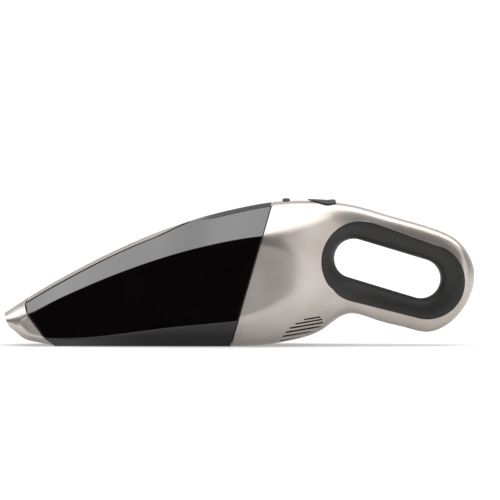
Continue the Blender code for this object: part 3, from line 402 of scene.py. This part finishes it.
looks = {
    # Polycarbonate, moulded in a polished mould and tinted: deep, wet-looking near-black with a plum cast.
    "smokedPolycarbonate": finish(
        "smokedPolycarbonate", {"IOR": 1.585}, ("#060304", "#0b0609"), 22 * mm, (0.03, 0.05), 0.0,
        broad=(60 * mm, "#c8b4be")),
    # ABS sprayed with a metallic lacquer: satin champagne. Its flakes are 0.05 mm, drawn at 0.5 mm to show.
    "champagneLacquer": finish(
        "champagneLacquer", {"Metallic": 0.8, "IOR": 1.5}, ("#b8b1ac", "#c6bfba"), 0.5 * mm, (0.30, 0.38),
        0.000002, settings={"Detail": 2.0}, broad=(35 * mm, "#f2efec")),
    # Thermoplastic elastomer, moulded in an etched mould: matt black with a 0.4 mm leathery grain.
    "softTouchElastomer": finish(
        "softTouchElastomer", {"IOR": 1.5}, ("#181615", "#22201f"), 0.4 * mm, (0.42, 0.55),
        0.00002, kind="ShaderNodeTexVoronoi", soft=(0.1, 0.6)),
    # ABS moulded in a spark-eroded mould: black, fine even grain of 0.25 mm that breaks up the shine.
    "blackAbs": finish(
        "blackAbs", {"IOR": 1.54}, ("#0a0a0b", "#111113"), 0.25 * mm, (0.52, 0.64), 0.000008,
        settings={"Detail": 3.0}),
    # Grey ABS, moulded: plain and slightly waxy, with flow lines a few millimetres long.
    "greyAbs": finish(
        "greyAbs", {"IOR": 1.54}, ("#4c4d50", "#5a5b5e"), 0.3 * mm, (0.42, 0.55), 0.000006,
        settings={"Detail": 3.0}, broad=(18 * mm, "#e6e6ea")),
    # Nitrile rubber, moulded: dull black with a dusty bloom.
    "nitrileRubber": finish(
        "nitrileRubber", {"IOR": 1.52}, ("#161616", "#222121"), 0.8 * mm, (0.62, 0.78), 0.00001,
        broad=(9 * mm, "#c8c6c4")),
    # Mild steel, zinc plated and passivated: bright, with spangles of about 1.5 mm.
    "zincPlatedSteel": finish(
        "zincPlatedSteel", {"Metallic": 1.0}, ("#a9adb0", "#c5c9cc"), 1.5 * mm, (0.22, 0.38), 0.000004,
        kind="ShaderNodeTexVoronoi", soft=(0.1, 0.8)),
    # Stainless steel mesh, woven from 0.25 mm wire at a 0.6 mm pitch: the steel's own colour on the knuckles,
    # painted shade in the holes.
    "wovenSteelMesh": finish(
        "wovenSteelMesh", {"Metallic": 1.0}, ("#b4b6b8", "#1a1a1b"), 0.6 * mm, (0.28, 0.7), 0.0001,
        kind="ShaderNodeTexVoronoi", settings={"Randomness": 0.0}, soft=(0.3, 0.5)),
    # Mild steel, deep drawn: the draw leaves fine lines along the can.
    "drawnSteel": finish(
        "drawnSteel", {"Metallic": 1.0}, ("#8f9294", "#b3b6b8"), 0.6 * mm, (0.25, 0.42), 0.000005,
        stretch=(0.05, 1, 1)),
    # Polyester nonwoven, pleated: white, fibrous and soft.
    "pleatedNonwoven": finish(
        "pleatedNonwoven", {"IOR": 1.45, "Sheen Weight": 0.2}, ("#d9d7d0", "#f1efe9"), 0.5 * mm, (0.85, 0.95),
        0.00006, settings={"Detail": 6.0, "Distortion": 1.5}, broad=(12 * mm, "#dcd8cf")),
    # Barium ferrite, sintered: charcoal grey with a gritty break.
    "sinteredFerrite": finish(
        "sinteredFerrite", {"IOR": 1.9}, ("#2b2b2d", "#3d3c3e"), 0.4 * mm, (0.55, 0.75), 0.00003),
    # Silicon steel plates wound with enamelled copper: amber turns 0.35 mm apart, painted darker in the
    # creases between them as shade.
    "enamelledCopper": finish(
        "enamelledCopper", {"Metallic": 0.8}, ("#5a2d14", "#b8652e"), 0.35 * mm, (0.2, 0.4), 0.00008,
        kind="ShaderNodeTexWave", stretch=(0.05, 0.3, 1)),
    # Brass, stamped: yellow metal with fine lines from the strip.
    "stampedBrass": finish(
        "stampedBrass", {"Metallic": 1.0}, ("#b08d4a", "#cfae66"), 0.3 * mm, (0.22, 0.36), 0.000004,
        stretch=(1, 0.1, 1)),
    # PVC sleeve, heat shrunk over a cell: taut green film with faint ripples.
    "shrinkSleeve": finish(
        "shrinkSleeve", {"IOR": 1.53}, ("#1d5a44", "#257055"), 3 * mm, (0.22, 0.34), 0.00002,
        stretch=(1, 0.2, 1)),
    # Glass-fibre laminate with solder mask: green, with the cloth's 0.6 mm weave just showing.
    "maskedLaminate": finish(
        "maskedLaminate", {"IOR": 1.55}, ("#11431f", "#1a5a2c"), 0.6 * mm, (0.3, 0.4), 0.00001,
        kind="ShaderNodeTexChecker",
        settings={"Color1": (0.3, 0.3, 0.3, 1), "Color2": (0.7, 0.7, 0.7, 1)}),
    # Acrylic lens, moulded clear and tinted red: glossy ruby.
    "rubyAcrylic": finish(
        "rubyAcrylic", {"IOR": 1.49}, ("#6d0d0b", "#97170f"), 1.2 * mm, (0.06, 0.12), 0.0),
    # PVC wire covering, extruded: smooth with a faint wave along its length.
    "redWirePvc": finish(
        "redWirePvc", {"IOR": 1.53}, ("#8e0f12", "#a81618"), 2 * mm, (0.35, 0.5), 0.00001),
    "blackWirePvc": finish(
        "blackWirePvc", {"IOR": 1.53}, ("#141414", "#1f1f20"), 2 * mm, (0.35, 0.5), 0.00001),
    # Polyurethane foam, open celled: charcoal, full of 0.8 mm pores painted darker towards their middles as
    # shade.
    "openCellFoam": finish(
        "openCellFoam", {"IOR": 1.4}, ("#0b0a0a", "#343336"), 0.8 * mm, (0.9, 1.0), 0.0003,
        kind="ShaderNodeTexVoronoi", soft=(0.2, 0.7)),
}
print("materials made:", len(looks))


# The dust container

containerLook = {
    "wall": 0.0022, "reach": 0.0013, "steps": 6,  # the facets' edges are rounded over this reach
    "railShare": 0.678,  # where the rail ends, from the nozzle's joint to the body's
    # height of the black strip of painted shade under the rail
    "shadeStrip": 0.0005,
}
noseLines = {
    "joint": [(-0.1868, 0.0560), (-0.1894, 0.0428), (-0.1911, 0.0370), (-0.1896, 0.0302),
              (-0.1819, 0.0185), (-0.1732, 0.0079), (-0.1634, 0.0001), (-0.1600, -0.0040)],
    "mouth": [(-0.2130, 0.0340), (-0.2100, 0.0293), (-0.2061, 0.0195), (-0.1993, 0.0118), (-0.1940, 0.0060)],
}
jointLine = readAlong(spline(noseLines["joint"], 160), known=1)
mouthLine = readAlong(spline(noseLines["mouth"], 80), known=1)
crispSkin = makeSkin(lambda x: containerLook["reach"], containerLook["steps"], -0.2129, 0.0500)


def shiftedLine(line, dx):
    return lambda z: line(z) + dx


def stripLevel(x):  # height of the crown's edge
    return topOf(x) - stripDrop(x)


def sunken(half, floor):  # the half ring with its crown lowered to the rail's bed
    half = half.copy()
    half[:, 2] = np.minimum(half[:, 2], stripLevel(half[:, 0]) - floor)
    return half


def containerShell():
    wall, gap, edge = containerLook["wall"], form["gap"], form["edge"]
    front, rear = shiftedLine(jointLine, 2 * gap), seamLine(-gap)
    step = containerLook["railShare"]
    shares = np.concatenate([np.linspace(0, step, 66), np.linspace(step + 0.0008, 1, 30)])

    def ring(share, inset, floor, shift=0.0):
        half = station(crispSkin, shiftedLine(between(front, rear, share), shift), inset)
        return whole(sunken(half, floor) if share <= step else half)

    rims = [(edge * (1 - math.sin(a)), edge * (1 - math.cos(a))) for a in np.linspace(0, math.pi / 2, 5)]
    outer = [ring(0.0, inset, gap + inset, ahead) for inset, ahead in rims[:-1]]
    outer += [ring(s, 0.0, gap, edge if i == 0 else 0.0) for i, s in enumerate(shares[:-1])]
    outer += [ring(1.0, inset, 0, -ahead) for inset, ahead in rims[::-1]]
    inner = [ring(s, wall, gap + wall) for s in [*shares[::-2], 0.0]]
    made = newObject("containerShell", gridMesh("containerShell", outer + inner, loop=True))
    return place(smoothByAngle(made, 28), "smokedPolycarbonate", "container_unit",
                 ["container_shell"])


def catchTab():  # the tab at the top rear that the latch hook holds
    root, end, roof, low, thick = 0.0222, 0.0360, 0.1262, 0.1185, 0.0018
    side = [(root, roof), (root, low), (end, low), (end, low + thick), (root + thick, low + thick),
            (root + thick, roof)]
    made = newObject("catchTab", prismMesh("catchTab", side, -0.005, 0.005))
    return place(made, "smokedPolycarbonate", "container_unit")


def nozzle():
    # A lip runs round the upper half of the nozzle's rear edge and dies out at the facet's corner.
    wall, edge, lip, groove = 0.0022, 0.0005, 0.0027, 0.00035
    skin = makeSkin(lambda x: 0.003 + 0.009 * smoothStep(-0.186, -0.204, x), 8, -0.2129, -0.1400)

    def lipFront(z):
        return jointLine(z) - 0.0007 - lip * smoothStep(0.027, 0.040, z)

    rings = []
    for a in np.linspace(0, math.pi / 2, 6):  # the mouth's rolled edge
        back = wall / 2 * (1 - math.sin(a))
        rings.append(whole(station(skin, shiftedLine(mouthLine, back), back)))
    for share in np.linspace(0.06, 0.985, 40):
        rings.append(whole(station(skin, between(mouthLine, shiftedLine(lipFront, -0.0004), share))))
    for shift, inset in ((-0.0003, 0.0), (-0.00015, groove * 0.6), (0.0, groove), (0.0002, groove),
                         (0.00035, 0.0)):
        rings.append(whole(station(skin, shiftedLine(lipFront, shift), inset)))
    rings.append(whole(station(skin, between(shiftedLine(lipFront, 0.0004), jointLine, 0.35))))
    for a in np.linspace(math.pi / 2, 0, 5)[1:]:  # the rounded rear edge
        line = shiftedLine(jointLine, -edge * (1 - math.cos(a)) * 0.5)
        rings.append(whole(station(skin, line, edge * (1 - math.sin(a)))))
    inner = [whole(station(skin, between(jointLine, shiftedLine(mouthLine, 0.0008), s), wall))
             for s in np.linspace(0, 1, 24)]
    made = newObject("nozzleShell", gridMesh("nozzleShell", rings + inner, loop=True))
    return place(smoothByAngle(made, 40), "champagneLacquer", "container_unit",
                 ["nozzle"])


def topRail():
    # The strip lies on the crown over a black strip of painted shade, a fine dark line in the gap under it.
    # Its rear end thins.
    step, steps, thin = containerLook["railShare"], containerLook["steps"], 0.0002
    crownPoints = 3 + steps + steps // 2  # the half ring's points as far as half way round the crown's corner
    front, rear = shiftedLine(jointLine, 2 * form["gap"]), seamLine(-form["gap"])
    strips, shadeStrips = [], []
    for share in np.linspace(0.0, step - 0.002, 72):
        over = station(crispSkin, between(front, rear, share))[:crownPoints]
        floor = stripLevel(over[:, 0]) + containerLook["shadeStrip"]
        over[:, 2] = np.maximum(over[:, 2], floor + thin)
        under = over[::-1].copy()
        under[:, 2] = floor[::-1]
        under[:, 1] = np.maximum(under[:, 1] - 3 * thin, 0.0)
        strips.append(whole(np.vstack([over, under])))
        roof = over.copy()
        roof[:, 2] = floor - thin / 2
        roof[:, 1] *= 1 - form["gap"] / roof[-1, 1]
        bed = roof[::-1].copy()
        bed[:, 2] = stripLevel(bed[:, 0]) - thin
        shadeStrips.append(whole(np.vstack([roof, bed])))
    # The black strip is painted shade: a dark piece put where the gap under the rail lies in shade.
    shadeStrip = newObject("railShadeStrip", gridMesh("railShadeStrip", shadeStrips, caps=True))
    place(smoothByAngle(shadeStrip, 35), "nitrileRubber", "container_unit")
    made = newObject("topRailStrip", gridMesh("topRailStrip", strips, caps=True))
    return place(smoothByAngle(made, 35), "champagneLacquer", "container_unit",
                 ["top_rail"])


containerShell()
catchTab()
nozzle()
topRail()
print("container made")

# The body's shells

shellLook = {"wall": 0.0025, "steps": 10, "end": 0.2094, "stations": 90, "tailFrom": 0.86, "tailStations": 26}
fingerHole = ((0.1016, 0.0776, 0.0175), (0.1621, 0.0594, 0.0175))
gripOuter = ((0.1086, 0.0747, 0.0361), (0.1671, 0.0569, 0.0333))
vents = {"spans": ((0.0568, 0.0716), (0.0491, 0.0733), (0.0441, 0.0739), (0.0405, 0.0727), (0.0379, 0.0716),
                   (0.0358, 0.0620)), "top": 0.0237, "pitch": 0.00374, "rise": 0.155, "height": 0.0013}
button = {"x": 0.0414, "length": 0.0067, "half": 0.0120}
slider = {"front": 0.0608, "rear": 0.0859}
screws = {"places": ((0.0310, 0.0090), (0.0920, 0.0360), (0.1010, 0.1165), (0.1840, 0.0925),
                     (0.1500, 0.0226)), "head": 0.0080, "bore": 0.0026}
socket = {"place": (0.0830, 0.0, 0.0214), "turn": math.radians(-34) + math.pi, "radius": 0.0043}
seamHoles = {"levels": (0.110, 0.140), "lampX": 0.0940, "lampRadius": 0.0023}
softSkin = makeSkin(bodyReach, shellLook["steps"], -0.0200, shellLook["end"], 520)


def bodyRings(inset, rows):
    # Stations lean with the joint face at the front and stand upright from the handle's root on.
    rings = []
    for share in rows:
        x = shellLook["end"] * share
        lean = 1 - smoothStep(0.0, 0.5, share)
        rings.append(station(softSkin, lambda z: x + lean * seamLine(form["gap"])(z), inset))
    return rings


def oval(centre, length, half, count=48):
    turns = np.linspace(0, 2 * math.pi, count, endpoint=False)
    return [(centre + length / 2 * math.cos(a), half * math.sin(a)) for a in turns]


def slotOutline(start, end, level):  # a slanted slot with round ends, as (x, z)
    lean = math.atan(vents["rise"])
    reach, radius = (end - start) / math.cos(lean), vents["height"] / 2
    line = arcPoints((reach - radius, 0), radius, -90, 90) + arcPoints((radius, 0), radius, 90, 270)
    return [(start + u * math.cos(lean) - v * math.sin(lean), level + u * math.sin(lean) + v * math.cos(lean))
            for u, v in line]


def shellCutters(side):  # the grip's bed, the slots, the holes on the seam and the screws' counterbores
    low, high = sorted((-side * 0.001, side * 0.09))
    cutters = [prismMesh("cutter", capsule(*gripOuter, grow=form["gap"]), low, high)]
    near, far = sorted((side * 0.022, side * 0.070))
    for i, (start, end) in enumerate(vents["spans"]):
        slot = slotOutline(start, end, vents["top"] - i * vents["pitch"])
        cutters.append(prismMesh("cutter", slot, near, far))
    well = oval(button["x"], button["length"] + 0.0008, button["half"] + 0.0004)
    cutters.append(prismMesh("cutter", well, *seamHoles["levels"], flat=True))
    cutters.append(boxMesh("cutter", (0.0640, -0.0035, 0.110), (0.0775, 0.0035, 0.140)))
    lamp = rodMesh(seamHoles["lampRadius"], *seamHoles["levels"])
    lamp.transform(Matrix.Translation((seamHoles["lampX"], 0, 0)))
    hole = rodMesh(socket["radius"], -0.010, 0.010)
    hole.transform(Matrix.Translation(socket["place"]) @ Matrix.Rotation(socket["turn"], 4, "Y"))
    cutters += [lamp, hole]
    for x, z in screws["places"] if side > 0 else ():
        bore = rodMesh(screws["bore"], 0.001, 0.09)
        bore.transform(Matrix.Translation((x, 0, z)) @ Matrix.Rotation(-math.pi / 2, 4, "X"))
        cutters.append(bore)
    return cutters


def bodyShell(side, name):
    gap, edge, wall = form["gap"], form["edge"], shellLook["wall"]
    tail = shellLook["tailFrom"]  # from here the stations close up to round off the rear end
    closing = np.sin(np.linspace(0, math.pi / 2, shellLook["tailStations"]))[1:]
    rows = np.concatenate([[0.0, 0.0006, 0.0024], np.linspace(0.010, tail, shellLook["stations"]),
                           tail + (1 - tail) * closing])
    outer = bodyRings(0.0, rows)
    outer[0] = bodyRings(edge, rows[:1])[0]
    outer[1] = bodyRings(edge * 0.3, rows[1:2])[0]
    inner = bodyRings(wall, rows)
    model = gridMesh("bodyForm", [whole(r) for r in outer])
    solid = 1 - wall / (shellLook["end"] - form["seamX"])  # past this share the rear end has no hollow
    rings = []
    for share, out, ins in zip(rows, outer, inner):
        if share > solid:
            ins = ins * (1, 0, 1)
        ring = np.vstack([out, ins[::-1]])
        ring[:, 1] = np.maximum(ring[:, 1], gap / 2) * side
        rings.append(ring)
    size, count = len(rings[0]), len(outer[0])
    faces = []
    for r in range(len(rings) - 1):
        a, b = r * size, (r + 1) * size
        faces += [(a + i, a + (i + 1) % size, b + (i + 1) % size, b + i) for i in range(size)]
    for r in (0, len(rings) - 1):
        a = r * size
        faces += [(a + i, a + i + 1, a + size - 2 - i, a + size - 1 - i) for i in range(count - 1)]
    made = newObject(name, meshOf(name, np.vstack(rings), faces))
    carve(made, shellCutters(side))
    shadeLike(made, model)
    bpy.data.meshes.remove(model)
    return place(made, "champagneLacquer", "body", [name.replace("Side", "_shell")])


bodyShell(-1, "leftSide")
bodyShell(1, "rightSide")
print("body shells made")


def gripRing():
    wall, depth, edge = 0.003, 0.012, 0.0005
    rings = []
    for outer, inner in zip(capsule(*gripOuter), capsule(*fingerHole)):
        width = np.linalg.norm(outer - inner)

        def skin(v):
            at = outer + (inner - outer) * v
            return halfWidthAt(*at) - depth * (1 - math.sqrt(max(1 - v * v, 0.0)))

        path = [(0.0, skin(0) - edge), (edge * 0.3 / width, skin(0) - edge * 0.3), (edge / width, skin(0))]
        path += [(v, skin(v)) for v in np.sin(np.linspace(0.08, math.pi / 2, 14))]
        inside = [(1 - wall / width, skin(1.0) - wall / 2), (0.5, skin(0.5) - wall), (0.0, skin(0.0) - wall)]
        loop = path + [(v, -y) for v, y in path[::-1]] + [(v, -y) for v, y in inside[::-1]] + inside
        rings.append(np.array([(*(outer + (inner - outer) * v), y) for v, y in loop])[:, (0, 2, 1)])
    made = newObject("gripRing", gridMesh("gripRing", rings, loop=True))
    return place(smoothByAngle(made, 40), "softTouchElastomer", "body", ["grip_ring"])


def powerSlider():
    # A saddle over the crown whose rear rises into a thumb step, with fine ribs across its middle.
    plan = spline([(slider["front"], 0.0), (0.0622, 0.0090), (0.0690, 0.0145), (0.0780, 0.0172),
                   (slider["rear"], 0.0130)], 200)
    halfPlan = readAlong(plan)
    rings = []
    for a in np.linspace(0.0, 1.0, 60):
        x = slider["front"] + 0.00005 + (slider["rear"] - slider["front"] - 0.00005) * a ** 1.6
        half = float(halfPlan(x))
        top, under = [], []
        for b in np.sin(np.linspace(-math.pi / 2, math.pi / 2, 49)):
            y = b * half
            inward = min((1 - abs(b)) * half, (x - slider["front"]) * 1.5, slider["rear"] - x)
            rim = math.sqrt(1 - (1 - min(inward / 0.0012, 1.0)) ** 2)
            step = 0.0011 * smoothStep(0.0765, 0.0840, x) * smoothStep(0.0135, 0.0085, abs(y))
            rib = 0.00025 * math.cos(2 * math.pi * (x - 0.0660) / 0.0022) ** 8
            rib *= smoothStep(0.0650, 0.0660, x) * smoothStep(0.0760, 0.0750, x)
            rib *= smoothStep(0.0090, 0.0080, abs(y))
            base = topAt(x, y)
            under.append((x, y, base + 0.0007))
            top.append((x, y, base + 0.0007 + rim * (0.0010 + step) + rib))
        rings.append(np.array(top + under[::-1]))
    made = newObject("powerSwitchSlide", gridMesh("powerSwitchSlide", rings, caps=True))
    stem = newObject("powerSwitchStem", boxMesh("powerSwitchStem", (0.0700, -0.0025, 0.1194),
                                                (0.0760, 0.0025, 0.1292)))
    place(smoothByAngle(made, 35), "blackAbs", "slider", ["power_slider"])
    return place(stem, "blackAbs", "slider")


def releaseButton():
    # An oval cap with a rounded edge and a row of small grip dots along its top.
    crown, foot, roof = 0.1312, 0.1204, 0.1299
    levels = [(0.0, foot)] + [(1 - (1 - math.cos(a)) * 0.36, roof + (crown - roof) * math.sin(a))
                              for a in np.linspace(0, math.pi / 2, 9)]
    levels = [(1.0, foot)] + levels[1:] + [(0.40, crown + 0.0001), (0.12, crown + 0.00015)]
    rings = []
    for scale, z in levels:
        shrink = (1 - scale) * button["length"] / 2
        rings.append(np.array([(x, y, z - 0.0022 * (y / button["half"]) ** 2)
                               for x, y in oval(button["x"], button["length"] - 2 * shrink,
                                                button["half"] - shrink)]))
    bm = bmesh.new()
    bm.from_mesh(gridMesh("releaseButtonCap", rings, caps=True))
    for i in range(5):
        y = (i - 2) * 0.0034
        at = (button["x"], y, crown + 0.00012 - 0.0022 * (y / button["half"]) ** 2)
        bmesh.ops.create_uvsphere(bm, u_segments=16, v_segments=8, radius=0.0006,
                                  matrix=Matrix.Translation(at) @ Matrix.Diagonal((1, 1, 0.35, 1)))
    mesh = bpy.data.meshes.new("releaseButtonCap")
    bm.to_mesh(mesh)
    bm.free()
    cap = newObject("releaseButtonCap", mesh)
    plan = oval(button["x"] + 0.0005, 0.0058, 0.0060)
    stem = newObject("releaseButtonStem", prismMesh("releaseButtonStem", plan, 0.1170, 0.1206, flat=True))
    place(smoothByAngle(cap, 40), "blackAbs", "button", ["release_button"])
    return place(smoothByAngle(stem, 40, False), "blackAbs", "button")


def shellScrews():
    # Pan heads with a cross recess, each at the bottom of its counterbore.
    radius, head = 0.0023, 0.0018
    profile = ([(0, -head)] + [(radius * math.sin(a), -head * math.cos(a) ** 0.6 if a < 1.57 else 0.0)
                               for a in np.linspace(0.3, math.pi / 2, 8)]
               + [(0.0012, 0.0), (0.0012, 0.0145), (0, 0.0155)])
    for index, (x, z) in enumerate(screws["places"]):
        made = newObject(f"shellScrew{index + 1}", turnedMesh("shellScrew", profile[::-1]))
        turnBy = math.radians(17 + 40 * index)
        cutters = []
        for k in range(2):
            blade = boxMesh("cutter", (-0.0013, -0.00025, -0.0030), (0.0013, 0.00025, -0.0008))
            blade.transform(Matrix.Rotation(turnBy + k * math.pi / 2, 4, "Z"))
            cutters.append(blade)
        carve(made, cutters)
        made.data.transform(Matrix.Translation((x, screws["head"], z)) @ Matrix.Rotation(math.pi / 2, 4, "X"))
        place(smoothByAngle(made, 35), "zincPlatedSteel", "body", [f"shell_screw_{index + 1}"])


gripRing()
powerSlider()
releaseButton()
shellScrews()
print("grip, switch, button and screws made")

# The CAD nodes that stay get their own finish.
kept = {
    "blackAbs": ["inlet_duct", "filter_carrier", "latch_hook", "fan_grille", "fan_shroud", "fan_housing",
                 "impeller", "motor_end_cap", "micro_switch", "charge_socket"],
    "greyAbs": ["filter_shroud", "filter_handle", "bulkhead", "cell_plate_left", "cell_plate_right"],
    "nitrileRubber": ["inlet_flap", "filter_seal", "container_seal", "motor_mount"],
    "zincPlatedSteel": ["flap_pin", "latch_bracket", "button_spring", "impeller_nut", "motor_shaft"],
    "wovenSteelMesh": ["filter_mesh"],
    "drawnSteel": ["motor_can"],
    "pleatedNonwoven": ["pleated_filter"],
    "sinteredFerrite": ["magnet_left", "magnet_right"],
    "enamelledCopper": ["armature"],
    "stampedBrass": ["motor_terminal_left", "motor_terminal_right"],
    "shrinkSleeve": ["battery_cell_1", "battery_cell_2", "battery_cell_3"],
    "maskedLaminate": ["circuit_board"],
    "rubyAcrylic": ["charge_lamp"],
    "redWirePvc": ["red_wire"],
    "blackWirePvc": ["black_wire"],
    "openCellFoam": ["exhaust_foam_left", "exhaust_foam_right"],
}
for look, names in kept.items():
    for name in names:
        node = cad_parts[name]
        node.data.materials.clear()
        node.data.materials.append(looks[look])
print("kept nodes finished:", sum(len(names) for names in kept.values()))

# The studio

studio = {
    "aim": (0.0090, 0.0, 0.0850),
    "elevation": math.radians(0.6),
    "across": 0.4477,  # what the picture spans at the machine
    "lens": 300.0,
    "sensor": 36.0,
    "floor": 12.0,  # half the floor's width
    "lights": {  # direction from the machine, distance, width and height, brightness
        "overhead": ((0.02, 0.05, 1.0), 2.0, (4.2, 1.8), 3.2),
        "right": ((0.78, -0.54, 0.34), 2.2, (1.3, 1.9), 1.3),
        "left": ((-0.76, -0.63, 0.16), 2.2, (0.8, 0.9), 2.4),
    },
}


def areaLight(name, direction, distance, size, glow):  # a softbox aimed at the machine
    lamp = bpy.data.lights.new(name, "AREA")
    lamp.shape, lamp.size, lamp.size_y = "RECTANGLE", *size
    lamp.energy = glow * math.pi * size[0] * size[1]
    made = bpy.data.objects.new(name, lamp)
    scene.collection.objects.link(made)
    away = Vector(direction).normalized()
    made.location = Vector(studio["aim"]) + away * distance
    upright = Vector((0, 0, 1) if abs(away.z) < 0.8 else (0, 1, 0))
    across = upright.cross(away).normalized()
    made.rotation_euler = Matrix((across, away.cross(across), away)).transposed().to_euler()


def setStage():
    # Pale paper with painted light: it glows more the farther it lies from the machine, so it ends as white
    # as the room.
    size = studio["floor"]
    ground = newObject("floor", meshOf("floor", [(-size, -size, 0), (size, -size, 0), (size, size, 0),
                                                  (-size, size, 0)], [(0, 1, 2, 3)]))
    paper = finish("seamlessPaper", {"IOR": 1.45, "Specular IOR Level": 0.1, "Emission Color": (1, 1, 1, 1)},
                   ("#c3c3c2", "#c8c8c7"), 4 * mm, (0.85, 0.95), 0.0)
    tree = paper.node_tree
    where = addNode(tree, "ShaderNodeTexCoord")
    away = addNode(tree, "ShaderNodeVectorMath", {"operation": "LENGTH"}, {"Vector": where.outputs["Object"]})
    glow = addNode(tree, "ShaderNodeMapRange", {
        "From Min": 0.1, "From Max": 1.2, "To Min": 0.3, "To Max": 1.0}, {"Value": away.outputs["Value"]})
    bsdf = next(n for n in tree.nodes if n.type == "BSDF_PRINCIPLED")
    tree.links.new(glow.outputs["Result"], bsdf.inputs["Emission Strength"])
    ground.data.materials.append(paper)


def setWorld():
    # Pale all round to look at. As light it is bright behind the machine and dark in front of it.
    world = bpy.data.worlds.new("studioRoom")
    world.use_nodes = True
    scene.world = world
    tree = world.node_tree
    tree.nodes.clear()
    where = addNode(tree, "ShaderNodeTexCoord")
    axes = addNode(tree, "ShaderNodeSeparateXYZ", links={"Vector": where.outputs["Generated"]})
    behind = addNode(tree, "ShaderNodeMapRange", {
        "From Min": -0.30, "From Max": 0.50, "To Min": 0.03, "To Max": 0.8}, {"Value": axes.outputs["Y"]})
    room = addNode(tree, "ShaderNodeBackground", links={"Strength": behind.outputs["Result"]})
    seen = addNode(tree, "ShaderNodeBackground", {"Color": (1, 1, 1, 1), "Strength": 1.05})
    path = addNode(tree, "ShaderNodeLightPath")
    both = addNode(tree, "ShaderNodeMixShader", links={0: path.outputs["Is Camera Ray"],
                                                       1: room.outputs[0], 2: seen.outputs[0]})
    addNode(tree, "ShaderNodeOutputWorld", links={"Surface": both.outputs[0]})


def setCamera():
    data = bpy.data.cameras.new("camera")
    data.lens, data.sensor_width = studio["lens"], studio["sensor"]
    made = bpy.data.objects.new("camera", data)
    scene.collection.objects.link(made)
    away = Vector((0, -math.cos(studio["elevation"]), math.sin(studio["elevation"])))
    made.location = Vector(studio["aim"]) + away * studio["across"] * studio["lens"] / studio["sensor"]
    made.rotation_euler = away.to_track_quat("Z", "Y").to_euler()
    scene.camera = made


setStage()
setWorld()
setCamera()
for name, (direction, distance, size, glow) in studio["lights"].items():
    areaLight(name, direction, distance, size, glow)
scene.view_settings.view_transform = "Standard"
print("studio set")
